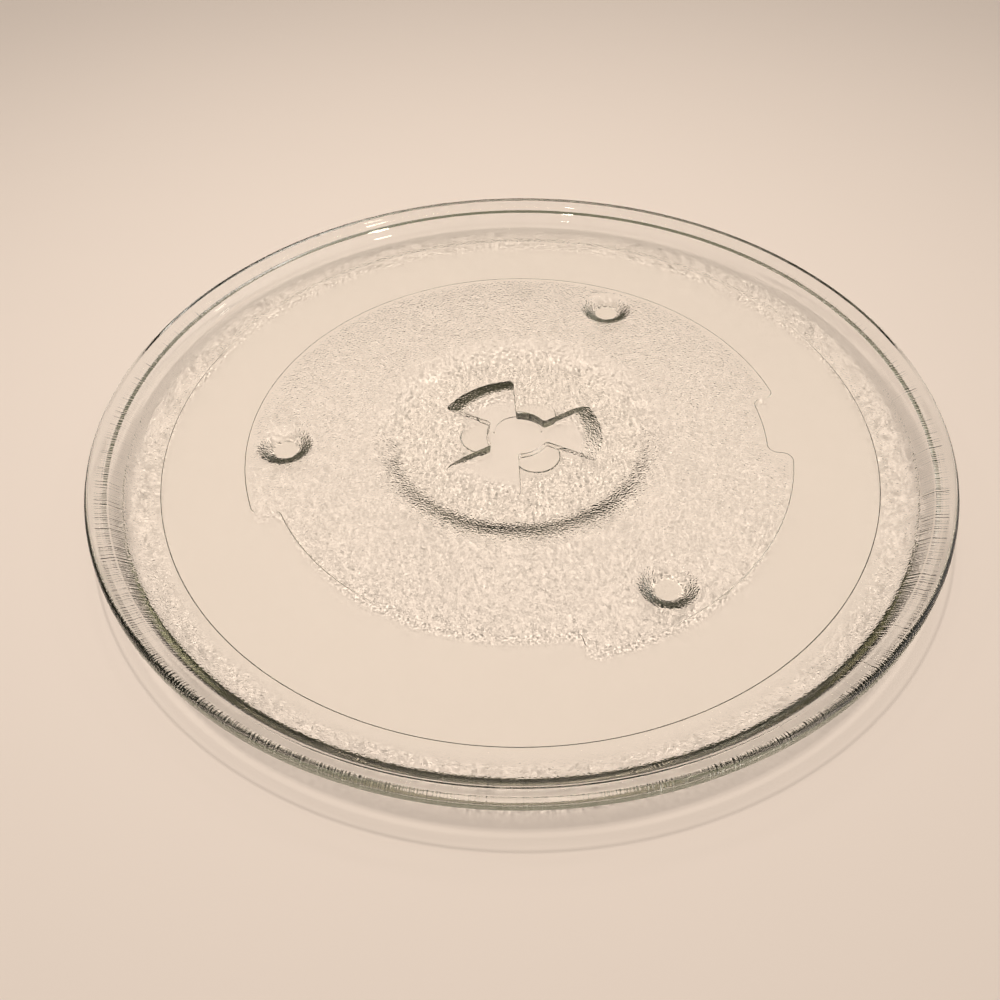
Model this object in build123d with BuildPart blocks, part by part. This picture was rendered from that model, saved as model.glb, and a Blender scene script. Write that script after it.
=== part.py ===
"""Pressed-glass turntable plate with a three-lobed coupler socket, in millimetres.

The plate stands right side up on its feet: z = 0 is the surface it stands on, the Z axis
is the axis it turns about, and angles run from +X towards +Y.
"""

import os
from math import radians, tan

from build123d import *

# Plate
plate_diameter = 245.0
plate_height = 15.5  # standing surface to the top of the rim
glass_thickness = 5.2  # stippled disc to the flat top
stand_height = 4.3  # standing surface to the stippled disc

# Rim, seen in section
edge_round = 1.3  # radius of the lip's outer edge
lip_width = 4.5  # outer edge to the crease above and to the wall below
lip_fall = 1.1  # crease below the top of the rim
lip_thickness = 4.5
lip_chamfer_width = 2.7  # sloping lower edge of the lip
lip_chamfer_height = 1.7
wall_run = 6.0  # crease to where the inner wall would meet the flat top
well_round = 6.0
knee_inset = 7.9  # outer edge to the knee where the outside of the wall starts
knee_rise = 2.4  # stippled disc to the knee
knee_round = 5.0
rim_width = 18.3  # outer edge to the roller track
rim_ring_width = 1.8  # flat ring between the roller track and the rising underside

# Smooth roller track, which stands a little proud of the stippled zones on both sides of it
track_width = 23.8
relief = 0.3
relief_draft = 30.0  # degrees off vertical

# Notches in the edge of the stippled disc: start and end angle of each
notch_depth = 7.1
notch_round = 3.0
notch_spans = ((-8.5, 9.5), (203.0, 280.5))

# Feet: low domes with a flat end
foot_count = 3
foot_angle = 62.4
foot_inset = 11.1  # edge of the stippled disc to the middle of a foot
foot_end_diameter = 6.2
foot_side_run = 5.6  # flat end to the stippled disc, measured across
foot_side_ease = 2.0  # how far the side takes to turn out of each flat

# Hub, a low boss with a gently sloping wall
hub_height = 2.4  # stippled disc to the hub's face
hub_face_diameter = 67.2
hub_wall_run = 13.6
hub_face_ease = 4.3  # how far the wall takes to turn out of the hub's face
hub_root_ease = 8.2  # and into the stippled disc

# Coupler socket in the hub: lobes with sloping end walls, and teeth between them
lobe_count = 3
lobe_angle = 1.0
lobe_half_width = 29.5  # degrees
lobe_corner_round = 3.0
socket_depth = 2.4  # hub face to the ceiling of the lobes
socket_mouth_diameter = 50.6
socket_ceiling_diameter = 40.0  # before rounding
socket_ceiling_round = 4.0
socket_draft = 4.0  # degrees, on the sides of the teeth
tooth_circle_diameter = 18.8  # between the inner ends of the teeth
tooth_round = 0.9
centre_diameter = 13.8  # shallow round recess in the middle of the ceiling
centre_depth = 0.4

# Smooth lugs on the ends of the teeth, which stand lower than the stippled hub face
lug_height = 0.7
lug_diameter = 13.2
lug_circle_diameter = 20.4
lug_draft = 35.0  # degrees off vertical

# How far a cut runs out past the face it starts from, and a boss into the glass it stands on
overrun = 1.0

# Levels and radii that follow from the sizes above
disc_z = stand_height
track_z = disc_z - relief
top_z = disc_z + glass_thickness
hub_z = disc_z - hub_height
lug_z = hub_z - lug_height
ceiling_z = hub_z + socket_depth
rim_radius = plate_diameter / 2
crease_radius = rim_radius - lip_width
lip_z = plate_height - lip_thickness
track_radius = rim_radius - rim_width
disc_radius = track_radius - track_width
foot_circle_radius = disc_radius - foot_inset
relief_run = relief * tan(radians(relief_draft))
lobe_pitch = 360 / lobe_count
tooth_angle = lobe_angle + lobe_pitch / 2


def sector(inner_radius, outer_radius, start, end, mode=Mode.ADD):
    """Ring sector between two radii and two angles, made in the sketch that is open."""
    with BuildLine() as outline:
        outer = CenterArc((0, 0), outer_radius, start, end - start)
        inner = CenterArc((0, 0), inner_radius, start, end - start)
        Line(inner @ 0, outer @ 0)
        Line(inner @ 1, outer @ 1)
    make_face(outline.edges(), mode=mode)


def boss(face_radius, face_z, run, face_ease, root_ease):
    """Turned boss on the stippled disc, with a flat face and a side that eases out of both flats."""
    root_radius = face_radius + run
    with BuildSketch(Plane.XZ) as section:
        with BuildLine() as outline:
            Bezier(
                (face_radius, face_z),
                (face_radius + face_ease, face_z),
                (root_radius - root_ease, disc_z),
                (root_radius, disc_z),
            )
            Polyline(
                (root_radius, disc_z),
                (root_radius, disc_z + overrun),
                (0, disc_z + overrun),
                (0, face_z),
                (face_radius, face_z),
            )
        make_face(outline.edges())
    revolve(section.sketch, axis=Axis.Z)


with BuildPart() as foot:
    boss(foot_end_diameter / 2, 0, foot_side_run, foot_side_ease, foot_side_ease)

# Socket: the space that the coupler fills, cut from the hub
with BuildPart() as socket:
    with BuildSketch(Plane.XY.offset(lug_z)) as lobes:
        mouth_radius = socket_mouth_diameter / 2
        Circle(tooth_circle_diameter / 2)
        for lobe in range(lobe_count):
            lobe_middle = lobe_angle + lobe * lobe_pitch
            sector(
                tooth_circle_diameter / 4,
                mouth_radius + overrun,
                lobe_middle - lobe_half_width,
                lobe_middle + lobe_half_width,
            )
        tooth_tips = lobes.vertices().sort_by(SortBy.DISTANCE)[: 2 * lobe_count]
        lobe_corners = lobes.vertices().sort_by(SortBy.DISTANCE)[-2 * lobe_count :]
        fillet(tooth_tips, tooth_round)
        fillet(lobe_corners, lobe_corner_round)
    extrude(amount=ceiling_z - lug_z, taper=socket_draft)
    extrude(lobes.sketch, amount=-overrun)

    with BuildSketch(Plane.XZ) as ramp_section:
        ceiling_corner = (socket_ceiling_diameter / 2, ceiling_z)
        with BuildLine():
            Polyline(
                (0, lug_z - overrun),
                (mouth_radius, lug_z - overrun),
                (mouth_radius, hub_z),
                ceiling_corner,
                (0, ceiling_z),
                close=True,
            )
        make_face()
        fillet(ramp_section.vertices().sort_by_distance(ceiling_corner)[0], socket_ceiling_round)
    revolve(axis=Axis.Z, mode=Mode.INTERSECT)

    with BuildSketch(Plane.XY.offset(ceiling_z)):
        Circle(centre_diameter / 2)
    extrude(amount=centre_depth)

with BuildPart() as plate:
    # Flat, inner wall, lip and rising underside in one turned section
    with BuildSketch(Plane.XZ) as section:
        well_corner = (crease_radius - wall_run, top_z)
        crease = (crease_radius, plate_height - lip_fall)
        ring_end = (track_radius + rim_ring_width, disc_z)
        knee = (rim_radius - knee_inset, disc_z + knee_rise)
        edge_centre = (rim_radius - edge_round, plate_height - edge_round)
        edge_side = (rim_radius, plate_height - edge_round)
        with BuildLine():
            edge = CenterArc(edge_centre, edge_round, 0, 360, mode=Mode.PRIVATE)
            lip = ConstrainedLines(
                edge,
                crease,
                selector=lambda lines: lines.sort_by(Axis.Y)[-1],
            ).edge()
            TangentArc(edge_side, lip @ 0, tangent=(0, 1))
            Polyline(
                edge_side,
                (rim_radius, lip_z + lip_chamfer_height),
                (rim_radius - lip_chamfer_width, lip_z),
                (crease_radius, lip_z),
                knee,
            )
            ring = Line((track_radius, disc_z), ring_end)
            TangentArc(ring_end, knee, tangent=(1, 0))
            Polyline(
                ring @ 0,
                (track_radius - relief_run, track_z),
                (0, track_z),
                (0, top_z),
                well_corner,
                crease,
            )
        make_face()
        fillet(section.vertices().sort_by_distance(well_corner)[0], well_round)
        fillet(section.vertices().sort_by_distance(knee)[0], knee_round)
    revolve(axis=Axis.Z)

    # Stippled disc, set back into the underside, with its two notches
    with BuildSketch(Plane.XY.offset(disc_z)) as disc:
        Circle(disc_radius)
        for start, end in notch_spans:
            sector(disc_radius - notch_depth, rim_radius, start, end, mode=Mode.SUBTRACT)
        fillet(disc.vertices(), notch_round)
    extrude(amount=-relief, taper=-relief_draft, mode=Mode.SUBTRACT)

    # Hub
    boss(hub_face_diameter / 2, hub_z, hub_wall_run, hub_face_ease, hub_root_ease)

    # Lugs, whose sides the socket trims to the teeth
    with BuildSketch(Plane.XY.offset(lug_z)):
        with PolarLocations(lug_circle_diameter / 2, lobe_count, start_angle=tooth_angle):
            Circle(lug_diameter / 2)
    extrude(amount=lug_height, taper=-lug_draft)

    with PolarLocations(foot_circle_radius, foot_count, start_angle=foot_angle):
        add(foot.part)

    add(socket.part, mode=Mode.SUBTRACT)

plate.part.label = "turntable_plate"

os.makedirs("parts", exist_ok=True)
export_step(plate.part, "parts/turntable_plate.step")
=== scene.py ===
from math import asin, ceil, cos, degrees, radians, sin, sqrt, tan

import bpy
import numpy as np
from mathutils import Matrix, Vector
from mathutils.geometry import delaunay_2d_cdt
from mathutils.kdtree import KDTree


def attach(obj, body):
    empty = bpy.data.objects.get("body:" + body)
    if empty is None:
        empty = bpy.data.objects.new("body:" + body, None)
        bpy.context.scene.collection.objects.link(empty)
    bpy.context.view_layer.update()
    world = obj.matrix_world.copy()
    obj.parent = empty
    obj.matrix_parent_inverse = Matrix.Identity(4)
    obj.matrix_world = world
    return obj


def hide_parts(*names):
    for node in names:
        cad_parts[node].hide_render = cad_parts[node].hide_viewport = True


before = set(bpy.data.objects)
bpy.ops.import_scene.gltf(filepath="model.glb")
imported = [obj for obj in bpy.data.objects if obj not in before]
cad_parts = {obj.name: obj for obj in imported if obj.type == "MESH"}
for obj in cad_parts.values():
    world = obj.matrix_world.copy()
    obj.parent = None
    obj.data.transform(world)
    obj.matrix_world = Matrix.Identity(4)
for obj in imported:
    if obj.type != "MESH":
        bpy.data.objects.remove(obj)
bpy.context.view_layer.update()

MM = 0.001
scene = bpy.context.scene
scene.view_settings.view_transform = "Standard"
scene.cycles.use_denoising = True
scene.cycles.caustics_refractive = scene.cycles.caustics_reflective = False

# Driving sizes in millimetres and degrees, as in the CAD model
RIM_R, PLATE_H, DISC_Z = 122.5, 15.5, 4.3
GLASS, RELIEF, RELIEF_RUN = 5.2, 0.3, 0.173
EDGE_ROUND, CREASE_ROUND, WELL_ROUND, KNEE_ROUND = 1.3, 0.45, 6.0, 5.0
LIP_W, LIP_FALL, LIP_T, CHAMFER_W, CHAMFER_H = 4.5, 1.1, 4.5, 2.7, 1.7
LIP_ROUNDS = (0.8, 1.0, 0.8)  # the CAD model keeps these corners and the crease sharp
WALL_RUN, KNEE_INSET, KNEE_RISE = 6.0, 7.9, 2.4
RIM_W, RING_W, TRACK_W = 18.3, 1.8, 23.8
NOTCH_DEPTH, NOTCH_ROUND, NOTCHES = 7.1, 3.0, ((-8.5, 9.5), (203.0, 280.5))
FOOT_ANGLE, FOOT_INSET, FOOT_FACE_R, FOOT_RUN, FOOT_EASE = 62.4, 11.1, 3.1, 5.6, 2.0
HUB_H, HUB_FACE_R, HUB_RUN, HUB_FACE_EASE, HUB_ROOT_EASE = 2.4, 33.6, 13.6, 4.3, 8.2
LOBE_ANGLE, LOBE_HALF, LOBE_ROUND, LOBE_OVERRUN = 1.0, 29.5, 3.0, 1.0
SOCKET_H, MOUTH_R, CEILING_R, CEILING_ROUND = 2.4, 25.3, 20.0, 4.0
TOOTH_R, TOOTH_ROUND, DRAFT = 9.4, 0.9, tan(radians(4.0))
CENTRE_R, CENTRE_H = 6.9, 0.4
LUG_H, LUG_CIRCLE_R, LUG_R, LUG_DRAFT = 0.7, 10.2, 6.6, tan(radians(35.0))
PITCH = 120.0  # feet, lobes and lugs come in threes

# Levels, radii and angles that follow from them
TOP_Z, TRACK_Z, HUB_Z = DISC_Z + GLASS, DISC_Z - RELIEF, DISC_Z - HUB_H
LUG_Z, CEILING_Z = HUB_Z - LUG_H, HUB_Z + SOCKET_H
CENTRE_Z, LIP_Z = CEILING_Z + CENTRE_H, PLATE_H - LIP_T
CREASE = (RIM_R - LIP_W, PLATE_H - LIP_FALL)
WELL = (CREASE[0] - WALL_RUN, TOP_Z)
KNEE = (RIM_R - KNEE_INSET, DISC_Z + KNEE_RISE)
LIP_CORNERS = ((CREASE[0], LIP_Z), (RIM_R - CHAMFER_W, LIP_Z), (RIM_R, LIP_Z + CHAMFER_H))
TRACK_R = RIM_R - RIM_W
RING_R, DISC_R = TRACK_R + RING_W, TRACK_R - TRACK_W
NOTCH_R, FOOT_CIRCLE_R = DISC_R - NOTCH_DEPTH, DISC_R - FOOT_INSET
FOOT_R, LOBE_R = FOOT_FACE_R + FOOT_RUN, MOUTH_R + LOBE_OVERRUN
FOOT_ANGLES = [FOOT_ANGLE + PITCH * i for i in range(3)]
LOBE_ANGLES = [LOBE_ANGLE + PITCH * i for i in range(3)]
LUG_ANGLES = [angle + PITCH / 2 for angle in LOBE_ANGLES]
# Bosses: radius and height of the face, run of the side, ease at the face and at the root
FOOT = (FOOT_FACE_R, 0.0, FOOT_RUN, FOOT_EASE, FOOT_EASE)
HUB = (HUB_FACE_R, HUB_Z, HUB_RUN, HUB_FACE_EASE, HUB_ROOT_EASE)

# Mesh and shading of the glass
SEGMENTS = 360
TOP_RINGS = (98.0, 70.0, 40.0, 15.0)  # radii of the rings across the flat top
FOOT_SOFTNESS = 0.5  # share of their slope with which the feet's sides shade
WALL_HOLLOW = 4.0  # degrees that the inner wall's normals turn each way from straight

# Stipple and ribs: noise scale, depth in metres, and height of the ribs as a share of that depth
STIPPLE_SCALE, STIPPLE_DEPTH = 1650.0, 0.00017
RIB_SCALE, RIB_HEIGHT = 200.0, 0.85
FOOT_GRAIN, LOBE_GRAIN = 1.2, 1.4  # stipple added on the feet's sides, and stipple of the lobes' end walls
STIPPLE_FADE, RIB_RISE = (6.9, 7.8), (7.0, 8.4)  # heights where one ends and the other starts
RIB_WALL, RIB_LIP, RIB_FADE = 0.45, (117.4, 118.6), (120.6, 121.4)  # share on the wall, radii on the lip

# Light through the glass, by how upright a face's normal is, and how strongly the stipple mottles it
UPRIGHT, PASSES, MOTTLE, LEAST = (0.75, 0.97), (0.84, 1.04), 3.6, 0.1

# Floor and backdrop, distances in metres between which they merge, and the room that the glass shows
PALE, PALE_LEVEL, MERGE = (0.80, 0.655, 0.54, 1), 0.85, (0.38, 0.85)
ROOM_DIM, ROOM_LIGHT = 0.18, 0.98


def polar(radius, angle):
    return np.array((radius * cos(radians(angle)), radius * sin(radians(angle))))


def arc(centre, radius, start, end, step):
    n = max(2, ceil(abs(radians(end - start)) * radius / step))
    a = np.radians(np.linspace(start, end, n + 1))
    return np.c_[centre[0] + radius * np.cos(a), centre[1] + radius * np.sin(a)]


def closed(runs):
    """One closed outline from runs of points, without the points they share."""
    pts = np.vstack(runs)
    keep = np.hypot(*(pts - np.roll(pts, 1, 0)).T) > 0.02
    return pts[keep]


def disc_outline(step):
    """Edge of the stippled disc, anticlockwise, with its notches rounded."""
    convex, concave = DISC_R - NOTCH_ROUND, NOTCH_R + NOTCH_ROUND
    out = degrees(asin(NOTCH_ROUND / convex))
    inn = degrees(asin(NOTCH_ROUND / concave))
    runs = []
    for i, (a, b) in enumerate(NOTCHES):
        nxt = NOTCHES[(i + 1) % len(NOTCHES)][0] + (360 if i + 1 == len(NOTCHES) else 0)
        runs += [
            arc(polar(convex, a - out), NOTCH_ROUND, a - out, a + 90, step / 2),
            arc(polar(concave, a + inn), NOTCH_ROUND, a + 270, a + inn + 180, step / 2),
            arc((0, 0), NOTCH_R, a + inn, b - inn, step),
            arc(polar(concave, b - inn), NOTCH_ROUND, b - inn + 180, b + 90, step / 2),
            arc(polar(convex, b + out), NOTCH_ROUND, b - 90, b + out, step / 2),
            arc((0, 0), DISC_R, b + out, nxt - out, step),
        ]
    return closed(runs)


def lobe_outline(step):
    """Outline of the socket at the level of the lugs, anticlockwise."""
    tip_c, cor_c = TOOTH_R + TOOTH_ROUND, LOBE_R - LOBE_ROUND
    tip, cor = degrees(asin(TOOTH_ROUND / tip_c)), degrees(asin(LOBE_ROUND / cor_c))
    tip_r, cor_r = sqrt(tip_c**2 - TOOTH_ROUND**2), sqrt(cor_c**2 - LOBE_ROUND**2)
    side = np.linspace(tip_r, cor_r, ceil((cor_r - tip_r) / step) + 1)[:, None]
    runs = []
    for m in LOBE_ANGLES:
        a, b = m - LOBE_HALF, m + LOBE_HALF
        runs += [
            arc(polar(tip_c, a - tip), TOOTH_ROUND, a - tip + 180, a + 90, step / 2),
            side * polar(1, a),
            arc(polar(cor_c, a + cor), LOBE_ROUND, a - 90, a + cor, step),
            arc((0, 0), LOBE_R, a + cor, b - cor, step),
            arc(polar(cor_c, b - cor), LOBE_ROUND, b - cor, b + 90, step),
            side[::-1] * polar(1, b),
            arc(polar(tip_c, b + tip), TOOTH_ROUND, b - 90, b + tip - 180, step / 2),
            arc((0, 0), TOOTH_R, b + tip, m + PITCH - LOBE_HALF - tip, step),
        ]
    return closed(runs)


def outward(pts):
    """Unit normals that point out of an anticlockwise outline."""
    t = np.roll(pts, -1, 0) - np.roll(pts, 1, 0)
    n = np.c_[t[:, 1], -t[:, 0]]
    return n / np.hypot(*n.T)[:, None]


def inside_distance(p, outline):
    """Distance from each point to a closed outline, positive inside it."""
    a, b = outline, np.roll(outline, -1, 0)
    d = b - a
    length = (d**2).sum(1)
    result = np.empty(len(p))
    batch = 2000
    for i in range(0, len(p), batch):
        q = p[i : i + batch, None, :]
        t = np.clip(((q - a) * d).sum(2) / length, 0, 1)
        near = np.hypot(*np.moveaxis(q - a - t[..., None] * d, 2, 0)).min(1)
        x, y = q[..., 0], q[..., 1]
        crosses = (a[:, 1] > y) != (b[:, 1] > y)
        with np.errstate(divide="ignore", invalid="ignore"):
            at = a[:, 0] + (y - a[:, 1]) / (b[:, 1] - a[:, 1]) * d[:, 0]
        odd = ((crosses & (x < at)).sum(1) % 2).astype(bool)
        result[i : i + batch] = np.where(odd, near, -near)
    return result


def ramp(lo, hi, x):
    """Smooth step from 0 at lo to 1 at hi."""
    t = np.clip((x - lo) / (hi - lo), 0, 1)
    return t * t * (3 - 2 * t)


def boss(sizes, r):
    """Height of a boss's side at a radius, along the CAD model's eased curve."""
    face_r, face_z, run, face_ease, root_ease = sizes
    t = np.linspace(0, 1, 240)
    out = 3 * t * (1 - t) ** 2 * face_ease + 3 * t**2 * (1 - t) * (run - root_ease) + t**3 * run
    up = 3 * t**2 - 2 * t**3
    return np.interp(r, face_r + out, face_z + (DISC_Z - face_z) * up)


DISC_LINE = disc_outline(0.5)
LOBE_LINE = lobe_outline(0.25)
SLOPE = (CEILING_Z - HUB_Z) / (MOUTH_R - CEILING_R)
BEND = CEILING_ROUND * tan(np.arctan(SLOPE) / 2)
BEND_R, RAMP_R = CEILING_R - BEND, CEILING_R + BEND * cos(np.arctan(SLOPE))


def lobe_ceiling(r):
    """Height of the socket's ceiling and of the sloping wall at the end of a lobe; none past the mouth."""
    curve = CEILING_Z - CEILING_ROUND + np.sqrt(np.clip(CEILING_ROUND**2 - (r - BEND_R) ** 2, 0, None))
    slope = HUB_Z + (MOUTH_R - r) * SLOPE
    z = np.where(r < BEND_R, CEILING_Z, np.where(r < RAMP_R, curve, slope))
    return np.where(r > MOUTH_R, -np.inf, z)


def underside(p):
    """Height of the underside inside the roller track's outer edge, and how stippled it is."""
    r = np.hypot(p[:, 0], p[:, 1])
    margin = 2.5  # farther than this from the disc's edge, nothing changes
    edge = np.where(r < NOTCH_R, margin, -margin)
    near = (r > NOTCH_R - margin) & (r < DISC_R + margin)
    edge[near] = inside_distance(p[near], DISC_LINE)
    z = TRACK_Z + (DISC_Z - TRACK_Z) * ramp(-RELIEF_RUN - 0.06, 0.06, edge)
    grain = ramp(0.3, 0.9, edge)
    z = np.minimum(z, boss(HUB, r))
    for angle in FOOT_ANGLES:
        q = np.hypot(*(p - polar(FOOT_CIRCLE_R, angle)).T)
        z = np.minimum(z, boss(FOOT, q))
        on_side = 1 - ramp(FOOT_R - 1.5, FOOT_R - 0.1, q)
        grain *= ramp(FOOT_FACE_R + 0.1, FOOT_FACE_R + 0.9, q) * (1 + FOOT_GRAIN * on_side)
    for angle in LUG_ANGLES:
        q = np.hypot(*(p - polar(LUG_CIRCLE_R, angle)).T)
        side = LUG_Z + np.clip((q - LUG_R) / LUG_DRAFT, 0, None)
        z = np.where(side < HUB_Z, np.minimum(z, side), z)
        grain *= ramp(LUG_R, LUG_R + 0.7, q)
    hub = r < MOUTH_R + 2
    inner = inside_distance(p[hub], LOBE_LINE)
    socket = np.minimum(LUG_Z + inner / DRAFT, lobe_ceiling(r[hub]))
    socket = np.where((r[hub] < CENTRE_R) & (inner > 0), CENTRE_Z, socket)
    cut = socket > z[hub]
    wall = LUG_Z + inner / DRAFT < lobe_ceiling(r[hub]) + 0.02
    end_grain = np.where(wall, 0.0, LOBE_GRAIN * ramp(BEND_R - 0.3, BEND_R + 0.9, r[hub]))
    grain[hub] = np.where(cut, end_grain, grain[hub])
    z[hub] = np.maximum(z[hub], socket)
    return z, grain


class Plan:
    """Points and lines of the underside's plan, for one triangulation."""

    def __init__(self):
        self.points, self.lines, self.count = [], [], 0

    def add(self, pts, joined=None, keep=None):
        """Points along a line; joined is 'ring' or 'line' where the line is to stay an edge."""
        keep = np.ones(len(pts), bool) if keep is None else keep
        index = np.full(len(pts), -1)
        index[keep] = self.count + np.arange(keep.sum())
        self.points.append(pts[keep])
        self.count += int(keep.sum())
        if joined:
            after = np.roll(index, -1)
            ok = (index >= 0) & (after >= 0)
            if joined == "line":
                ok[-1] = False
            self.lines += list(zip(index[ok].tolist(), after[ok].tolist()))
        return index

    def ring(self, radius, n, centre=(0, 0)):
        a = np.radians(np.arange(n) * 360 / n)
        pts = np.c_[centre[0] + radius * np.cos(a), centre[1] + radius * np.sin(a)]
        return self.add(pts, "ring")


def plan_underside():
    """Plan with rows of points along every edge and slope, and its outer ring, which the rim joins."""
    plan = Plan()
    border = plan.ring(TRACK_R - RELIEF_RUN, SEGMENTS)
    plan.ring(TRACK_R - RELIEF_RUN - 0.4, SEGMENTS)

    # Edge of the stippled disc
    line = disc_outline(0.9)
    out = outward(line)
    for d in (-0.6, -0.07, 0.03, 0.09, 0.14, 0.25, 0.8):
        plan.add(line + out * d, "ring")

    # Feet and the hub's wall
    for angle in FOOT_ANGLES:
        for d in (1.5, 2.6, 3.1, 3.5, 3.9, 4.3, 4.7, 5.1, 5.5, 6.0, 6.5, 7.0, 7.5, 8.0, 8.4, 8.8, 9.4):
            plan.ring(d, 24 if d < 2 else 60, polar(FOOT_CIRCLE_R, angle))
    for r in np.arange(HUB_FACE_R - 0.8, HUB_FACE_R + HUB_RUN + 1.0, 0.6):
        plan.ring(r, 240)

    # Sides of the socket, from its mouth to its ceiling
    line = lobe_outline(0.4)
    out = outward(line)

    def depth(p):
        """How far the foot of the socket's side lies inside its outline."""
        d = np.zeros(len(p))
        for _ in range(12):
            q = p - out * d[:, None]
            d = DRAFT * np.clip(lobe_ceiling(np.hypot(*q.T)) - LUG_Z, 0, None)
        return d

    def lip(p):
        """How far the mouth lies inside the outline: nothing on a lug, a little on the hub's face."""
        z = np.full(len(p), LUG_H)
        for angle in LUG_ANGLES:
            q = np.hypot(*(p - polar(LUG_CIRCLE_R, angle)).T)
            z = np.minimum(z, np.clip((q - LUG_R) / LUG_DRAFT, 0, None))
        return DRAFT * z

    foot_d, lip_d = depth(line), lip(line)
    for share, extra in ((0, -0.9), (0, -0.3), (0, -0.08), (0, 0), (0.5, 0), (1, 0), (1, 0.1), (1, 0.5)):
        pts = line - out * (lip_d + (foot_d - lip_d) * share + extra)[:, None]
        in_lobe = (np.hypot(*pts.T) < MOUTH_R - 0.25) & (np.hypot(*line.T) < MOUTH_R - 0.05)
        plan.add(pts, "ring", in_lobe)

    # End walls of the lobes
    for r in (18.2, BEND_R, 19.3, 19.9, 20.5, RAMP_R, 22, 23, 24, 24.8, 25.15, MOUTH_R, 25.45, 26.0, 27.0):
        for m in LOBE_ANGLES:
            pts = arc((0, 0), r, m - LOBE_HALF - 3, m + LOBE_HALF + 3, 0.6)
            d = inside_distance(pts, LOBE_LINE)
            need = DRAFT * (max(float(lobe_ceiling(np.array([r]))[0]), HUB_Z) - LUG_Z) + 0.25
            plan.add(pts, "line", d > need if r < MOUTH_R - 0.2 else None)

    # Round in the middle of the ceiling, and the lugs
    for r in (2.0, 4.5):
        plan.ring(r, 24)
    for d in (-0.5, -0.04, 0.03, 0.5):
        plan.ring(CENTRE_R + d, 90)
    for angle in LUG_ANGLES:
        for d in (-0.4, -0.05, 0.25, 0.5, 0.9):
            pts = arc(polar(LUG_CIRCLE_R, angle), LUG_R + d, 0, 360, 0.5)[:-1]
            plan.add(pts, "ring", inside_distance(pts, LOBE_LINE) < -0.35)

    # Even triangles everywhere else
    placed = np.vstack(plan.points)
    tree = KDTree(len(placed))
    for i, (x, y) in enumerate(placed):
        tree.insert((x, y, 0), i)
    tree.balance()
    across, down, clearance, border_gap = 1.6, 1.6 * 0.866, 0.75, 1.2
    rows, columns = int(TRACK_R / down) + 1, int(TRACK_R / across) + 1
    fill = []
    for j in range(-rows, rows + 1):
        for i in range(-columns, columns + 1):
            x, y = (i + 0.5 * (j % 2)) * across, j * down
            if x * x + y * y < (TRACK_R - border_gap) ** 2 and tree.find((x, y, 0))[2] > clearance:
                fill.append((x, y))
    plan.add(np.array(fill))
    return plan, border


def bend(corner, before, after, radius, n):
    """Points and tangents of a rounded corner between two directions of travel."""
    turn = np.arccos(np.clip(before @ after, -1, 1))
    leg = radius * tan(turn / 2)
    t = np.linspace(0, 1, n)[:, None]
    start, end = corner - before * leg, corner + after * leg
    pts = (1 - t) ** 2 * start + 2 * t * (1 - t) * corner + t**2 * end
    return np.c_[pts, (1 - t) * before + t * after]


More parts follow.
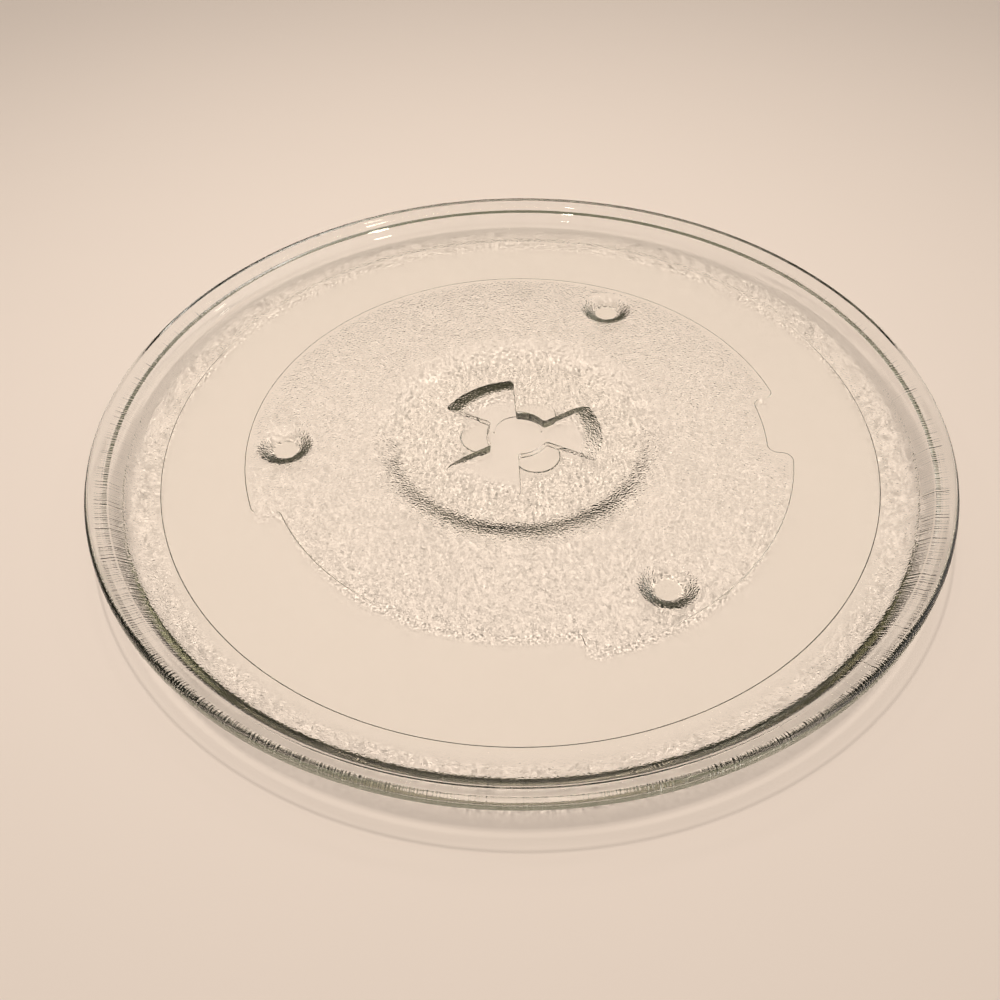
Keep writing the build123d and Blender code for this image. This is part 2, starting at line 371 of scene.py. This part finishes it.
def rim_profile():
    """Section of the rim from the roller track's edge out, up and back over the flat top.

    Each row is radius, height and direction of travel; the masks are the stipple and the lip's ribs.
    """
    def unit(v):
        return np.array(v) / np.hypot(*v)

    def run(a, b, n):
        t = np.linspace(0, 1, n + 2)[1:-1, None]
        d = unit(b[:2] - a[:2])
        return np.c_[a[:2] + t * (b[:2] - a[:2]), np.tile(d, (n, 1))]

    def sweep(centre, radius, start, end, n, sense=1):
        q = np.radians(np.linspace(start, end, n))
        return np.c_[centre[0] + radius * np.cos(q), centre[1] + radius * np.sin(q),
                     -np.sin(q) * sense, np.cos(q) * sense]

    rise = KNEE[1] - DISC_Z
    bow = ((KNEE[0] - RING_R) ** 2 + rise**2) / (2 * rise)
    bow_end = degrees(asin((KNEE[0] - RING_R) / bow))
    corners = [np.array(c) for c in (KNEE,) + LIP_CORNERS]
    arrive = np.array((cos(radians(bow_end)), sin(radians(bow_end))))
    ways = [arrive] + [unit(b - a) for a, b in zip(corners, corners[1:])] + [np.array((0.0, 1.0))]
    bends = [bend(c, u, v, r, n) for c, u, v, r, n
             in zip(corners, ways, ways[1:], (KNEE_ROUND,) + LIP_ROUNDS, (7, 6, 6, 6))]
    knee_leg = np.hypot(*(bends[0][0, :2] - KNEE))
    under = sweep((RING_R, DISC_Z + bow), bow, -90, bow_end - 90 - degrees(knee_leg / bow), 14)
    edge_c = np.array((RIM_R - EDGE_ROUND, PLATE_H - EDGE_ROUND))
    off = np.array(CREASE) - edge_c
    lip_angle = degrees(np.arctan2(off[1], off[0]) - np.arccos(EDGE_ROUND / np.hypot(*off)))
    edge = sweep(edge_c, EDGE_ROUND, 0, lip_angle, 12)
    wall_a = np.arctan2(CREASE[1] - WELL[1], CREASE[0] - WELL[0])
    leg = WELL_ROUND * tan(wall_a / 2)
    well = sweep((WELL[0] - leg, WELL[1] + WELL_ROUND), WELL_ROUND, degrees(wall_a) - 90, -90, 14, -1)
    crease = bend(np.array(CREASE), edge[-1, 2:], unit(well[0, :2] - CREASE), CREASE_ROUND, 6)
    step = np.array((
        (TRACK_R - RELIEF_RUN * 0.7, DISC_Z - 0.21, 1, 1.7),
        (TRACK_R - RELIEF_RUN * 0.3, DISC_Z - 0.09, 1, 1.7),
        (TRACK_R, DISC_Z - 0.01, 1, 0.9),
        (TRACK_R + 0.25, DISC_Z, 1, 0),
        (TRACK_R + 0.9, DISC_Z, 1, 0),
    ))
    lower = [bends[0]]
    for before, after, n in zip(bends, bends[1:], (4, 1, 3)):
        lower += [run(before[-1], after[0], n), after]
    # The inner wall is straight but shades as if slightly hollow: its tangents turn as it goes down
    wall = run(crease[-1], well[0], 5)
    turn = np.radians(np.linspace(-WALL_HOLLOW, WALL_HOLLOW, len(wall)))
    wall[:, 2:] = np.c_[wall[:, 2] * np.cos(turn) + wall[:, 3] * np.sin(turn),
                        wall[:, 3] * np.cos(turn) - wall[:, 2] * np.sin(turn)]
    flat = np.array([(r, TOP_Z, -1.0, 0.0) for r in TOP_RINGS])
    lower = np.vstack([step, under] + lower)
    rows = np.vstack([lower, edge, run(edge[-1], crease[0], 4), crease, wall, well, flat])
    r, z = rows[:, 0], rows[:, 1]
    below = np.arange(len(rows)) < len(lower)
    grain = ramp(TRACK_R + 0.5, TRACK_R + 1.2, r) * (1 - ramp(*STIPPLE_FADE, z)) * below
    share = RIB_WALL + (1 - RIB_WALL) * ramp(*RIB_LIP, r)
    ribs = ramp(*RIB_RISE, z) * share * (1 - ramp(*RIB_FADE, r)) * below
    return rows, grain, ribs


def make_plate():
    """The whole plate as one closed mesh, with its normals and the masks of stipple and ribs."""
    plan, border = plan_underside()
    flat = np.vstack(plan.points)
    corners, _, faces, origin, _, _ = delaunay_2d_cdt(
        [Vector(p) for p in flat.tolist()], plan.lines, [], 0, 1e-5
    )
    p = np.array([tuple(v) for v in corners])
    z, grain = underside(p)
    e = 0.03  # reach to each side over which a slope is measured
    dx = (underside(p + (e, 0))[0] - underside(p - (e, 0))[0]) / (2 * e)
    dy = (underside(p + (0, e))[0] - underside(p - (0, e))[0]) / (2 * e)
    # The feet shade as if their sides were gentler, which keeps them from looking black
    soft = np.ones(len(p))
    for angle in FOOT_ANGLES:
        q = np.hypot(*(p - polar(FOOT_CIRCLE_R, angle)).T)
        soft[q < FOOT_R] = FOOT_SOFTNESS
    places, normals = [np.c_[p, z]], [np.c_[dx * soft, dy * soft, -np.ones(len(p))]]
    grains, ribs = [grain], [np.zeros(len(p))]
    faces = [tuple(reversed(f)) for f in faces]
    merged = {old: new for new, olds in enumerate(origin) for old in olds}
    last = np.array([merged[i] for i in border.tolist()])

    # Rings up the rim and across the flat top, to a point in the middle
    a = np.radians(np.arange(SEGMENTS) * 360 / SEGMENTS)
    base = len(p)
    for (r, h, out, up), g, k in zip(*rim_profile()):
        places.append(np.c_[r * np.cos(a), r * np.sin(a), np.full(SEGMENTS, h)])
        normals.append(np.c_[up * np.cos(a), up * np.sin(a), np.full(SEGMENTS, -out)])
        grains.append(np.full(SEGMENTS, g))
        ribs.append(np.full(SEGMENTS, k))
        ring = base + np.arange(SEGMENTS)
        quads = np.c_[last, np.roll(last, -1), np.roll(ring, -1), ring]
        faces += [tuple(quad) for quad in quads.tolist()]
        last, base = ring, base + SEGMENTS
    places.append(np.array([(0.0, 0.0, TOP_Z)]))
    normals.append(np.array([(0.0, 0.0, 1.0)]))
    grains.append(np.zeros(1))
    ribs.append(np.zeros(1))
    faces += [(i, j, base) for i, j in zip(last.tolist(), np.roll(last, -1).tolist())]

    mesh = bpy.data.meshes.new("pressed_glass_plate")
    mesh.from_pydata((np.vstack(places) * MM).tolist(), [], faces)
    mesh.validate()
    mesh.polygons.foreach_set("use_smooth", np.ones(len(mesh.polygons), bool))
    for name, values in (("grain", grains), ("ribs", ribs)):
        mask = np.concatenate(values).astype(np.float32)
        mesh.attributes.new(name, "FLOAT", "POINT").data.foreach_set("value", mask)
    mesh.update()
    normals = np.vstack(normals)
    normals /= np.linalg.norm(normals, axis=1)[:, None]
    mesh.normals_split_custom_set_from_vertices(normals.tolist())
    obj = bpy.data.objects.new("pressed_glass_plate", mesh)
    scene.collection.objects.link(obj)
    return obj


def math_node(nt, op, *values):
    """Result of a Math node on numbers and sockets."""
    n = nt.nodes.new("ShaderNodeMath")
    n.operation = op
    for socket, v in zip(n.inputs, values):
        if isinstance(v, float):
            socket.default_value = v
        else:
            nt.links.new(v, socket)
    return n.outputs[0]


def range_node(nt, value, limits, kind="SMOOTHSTEP"):
    """Result of a Map Range node; limits are from min and max, to min and max."""
    n = nt.nodes.new("ShaderNodeMapRange")
    n.interpolation_type = kind
    for name, v in zip(("From Min", "From Max", "To Min", "To Max"), limits):
        n.inputs[name].default_value = v
    nt.links.new(value, n.inputs["Value"])
    return n.outputs[0]


def mix_shaders(nt, factor, first, second):
    """Result of a Mix Shader node: the first shader at 0, the second at 1."""
    n = nt.nodes.new("ShaderNodeMixShader")
    for socket, v in zip(n.inputs, (factor, first, second)):
        nt.links.new(v, socket)
    return n.outputs[0]


def glass_material():
    m = bpy.data.materials.new("clear_pressed_glass")
    m.use_nodes = True
    nt = m.node_tree
    nt.nodes.clear()
    new, link = nt.nodes.new, nt.links.new
    out = new("ShaderNodeOutputMaterial")
    glass = new("ShaderNodeBsdfPrincipled")
    glass.inputs["Base Color"].default_value = (1, 1, 1, 1)
    glass.inputs["Roughness"].default_value = 0.0
    glass.inputs["IOR"].default_value = 1.5
    glass.inputs["Transmission Weight"].default_value = 1.0
    tint = new("ShaderNodeVolumeAbsorption")
    tint.inputs["Color"].default_value = (0.66, 0.645, 0.30, 1)
    tint.inputs["Density"].default_value = 4.5
    link(tint.outputs[0], out.inputs["Volume"])

    def math(op, *values):
        return math_node(nt, op, *values)

    def mask(name):
        n = new("ShaderNodeAttribute")
        n.attribute_name = name
        return n.outputs["Fac"]

    place = new("ShaderNodeTexCoord")
    cells = new("ShaderNodeTexNoise")
    cells.inputs["Scale"].default_value = STIPPLE_SCALE
    cells.inputs["Detail"].default_value = 0.5
    cells.inputs["Roughness"].default_value = 0.4
    link(place.outputs["Object"], cells.inputs["Vector"])
    # Ribs on the outer wall and the underside of the lip: noise along the angle round the axis only
    split = new("ShaderNodeSeparateXYZ")
    link(place.outputs["Object"], split.inputs[0])
    turn = math("ARCTAN2", split.outputs["Y"], split.outputs["X"])
    ribs = new("ShaderNodeTexNoise")
    ribs.noise_dimensions = "1D"
    ribs.inputs["Scale"].default_value = RIB_SCALE
    ribs.inputs["Detail"].default_value = 1.0
    link(turn, ribs.inputs["W"])
    rib_height = math("MULTIPLY", math("MULTIPLY", ribs.outputs["Fac"], mask("ribs")), RIB_HEIGHT)
    height = math("ADD", math("MULTIPLY", cells.outputs["Fac"], mask("grain")), rib_height)
    bump = new("ShaderNodeBump")
    bump.inputs["Strength"].default_value = 1.0
    bump.inputs["Distance"].default_value = STIPPLE_DEPTH
    link(height, bump.inputs["Height"])
    link(bump.outputs[0], glass.inputs["Normal"])

    # Lamps shine through: steep faces shade the floor, and the stipple mottles it
    shape, tilt = new("ShaderNodeNewGeometry"), new("ShaderNodeSeparateXYZ")
    link(shape.outputs["Normal"], tilt.inputs[0])
    clear = range_node(nt, math("ABSOLUTE", tilt.outputs["Z"]), UPRIGHT + PASSES, "LINEAR")
    grained = math("MINIMUM", mask("grain"), 1.0)
    mottle = math("MULTIPLY", math("SUBTRACT", cells.outputs["Fac"], 0.5), grained)
    mottled = math("MAXIMUM", math("ADD", math("MULTIPLY", mottle, MOTTLE), 1.0), LEAST)
    path, through = new("ShaderNodeLightPath"), new("ShaderNodeBsdfTransparent")
    link(math("MULTIPLY", clear, mottled), through.inputs["Color"])
    either = mix_shaders(nt, path.outputs["Is Shadow Ray"], glass.outputs[0], through.outputs[0])
    link(either, out.inputs["Surface"])
    return m


plate = make_plate()
plate.data.materials.append(glass_material())
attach(plate, "root")
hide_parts("turntable_plate")


def make_floor():
    m = bpy.data.materials.new("pale_floor")
    m.use_nodes = True
    nt = m.node_tree
    new, link = nt.nodes.new, nt.links.new
    b = nt.nodes["Principled BSDF"]
    b.inputs["Base Color"].default_value = PALE
    b.inputs["Roughness"].default_value = 0.9
    b.inputs["Specular IOR Level"].default_value = 0.0
    # Beyond the lamps' reach the camera sees it fade into the backdrop
    place, away, path = new("ShaderNodeTexCoord"), new("ShaderNodeVectorMath"), new("ShaderNodeLightPath")
    away.operation = "LENGTH"
    link(place.outputs["Object"], away.inputs[0])
    fade = range_node(nt, away.outputs["Value"], MERGE + (0.0, 1.0))
    seen = math_node(nt, "MULTIPLY", fade, path.outputs["Is Camera Ray"])
    pale = new("ShaderNodeEmission")
    pale.inputs["Color"].default_value = PALE
    pale.inputs["Strength"].default_value = PALE_LEVEL
    top = mix_shaders(nt, seen, b.outputs[0], pale.outputs[0])
    # From below it is clear, so that the underside can be seen
    face, clear = new("ShaderNodeNewGeometry"), new("ShaderNodeBsdfTransparent")
    either = mix_shaders(nt, face.outputs["Backfacing"], top, clear.outputs[0])
    link(either, nt.nodes["Material Output"].inputs["Surface"])
    mesh = bpy.data.meshes.new("floor")
    s, z = 3.0, -0.0003  # a hair below the feet, so that their ends don't lie in its plane
    mesh.from_pydata([(-s, -s, z), (s, -s, z), (s, s, z), (-s, s, z)], [], [(0, 1, 2, 3)])
    mesh.materials.append(m)
    obj = bpy.data.objects.new("floor", mesh)
    scene.collection.objects.link(obj)


make_floor()


def make_world():
    """Pale backdrop for the camera; above the horizon the glass shows a dim warm room, lighter to +X."""
    w = bpy.data.worlds.new("studio")
    scene.world = w
    w.use_nodes = True
    nt = w.node_tree
    new, link = nt.nodes.new, nt.links.new
    place, split, path = new("ShaderNodeTexCoord"), new("ShaderNodeSeparateXYZ"), new("ShaderNodeLightPath")
    link(place.outputs["Generated"], split.inputs[0])
    low = range_node(nt, split.outputs["Z"], (0.0, 0.05, 1.0, 0.0))
    pale = math_node(nt, "MAXIMUM", low, path.outputs["Is Camera Ray"])
    side = range_node(nt, split.outputs["X"], (0.2, 0.9, 0.0, 1.0))
    hue = new("ShaderNodeMix")
    hue.data_type = "RGBA"
    hue.inputs[6].default_value = (1.0, 0.93, 0.60, 1)  # the dim side
    hue.inputs[7].default_value = (1.0, 0.95, 0.86, 1)  # the light side
    link(side, hue.inputs[0])
    lit = math_node(nt, "MULTIPLY_ADD", side, ROOM_LIGHT - ROOM_DIM, ROOM_DIM)
    shown = math_node(nt, "MAXIMUM", path.outputs["Is Glossy Ray"], path.outputs["Is Transmission Ray"])
    room, backdrop = new("ShaderNodeBackground"), nt.nodes["Background"]
    link(hue.outputs[2], room.inputs["Color"])
    link(math_node(nt, "MULTIPLY", lit, shown), room.inputs["Strength"])
    backdrop.inputs["Color"].default_value = PALE
    backdrop.inputs["Strength"].default_value = PALE_LEVEL
    either = mix_shaders(nt, pale, room.outputs[0], backdrop.outputs[0])
    link(either, nt.nodes["World Output"].inputs["Surface"])


make_world()


def lamp(name, place, size, power, glint=False):
    """Round lamp aimed at the plate; a glint only shows in the glass, the others only light the scene."""
    d = bpy.data.lights.new(name, "AREA")
    d.shape, d.size, d.energy = "DISK", size, power
    o = bpy.data.objects.new(name, d)
    o.location = place
    o.rotation_mode = "QUATERNION"
    o.rotation_quaternion = (-o.location).to_track_quat("-Z", "Y")
    o.visible_glossy = o.visible_transmission = glint
    o.visible_diffuse = not glint
    d.color = (1.0, 0.92, 0.76) if glint else (1.0, 1.0, 1.0)
    o.visible_camera = False
    scene.collection.objects.link(o)


lamp("softbox_over", (-0.03, 0.02, 0.65), 0.03, 3.3)
lamp("softbox_right", (0.78, 0.34, 0.98), 0.12, 2.1)
lamp("softbox_left", (-0.76, 0.30, 0.98), 0.12, 2.1)
lamp("softbox_back", (-0.04, 0.60, 1.05), 0.12, 1.65)
lamp("glint_right", (0.507, -0.203, 1.371), 0.09, 0.5, glint=True)
lamp("glint_front", (-0.206, -0.334, 1.425), 0.05, 0.2, glint=True)
lamp("glint_left", (0.801, 0.457, 1.143), 0.06, 0.06, glint=True)


def make_camera():
    """Camera at the photo's place: tilted up from straight down, and rolled a little."""
    d = bpy.data.cameras.new("camera")
    d.sensor_width, d.lens = 36.0, 34.75
    d.clip_start, d.clip_end = 0.01, 50
    o = bpy.data.objects.new("camera", d)
    tilt, roll = radians(43.559588), radians(-1.342735)
    turned = Matrix.Rotation(tilt, 4, "X") @ Matrix.Rotation(roll, 4, "Z")
    o.matrix_world = Matrix.Translation((-0.005796, -0.213399, 0.201978)) @ turned
    scene.collection.objects.link(o)
    scene.camera = o


make_camera()
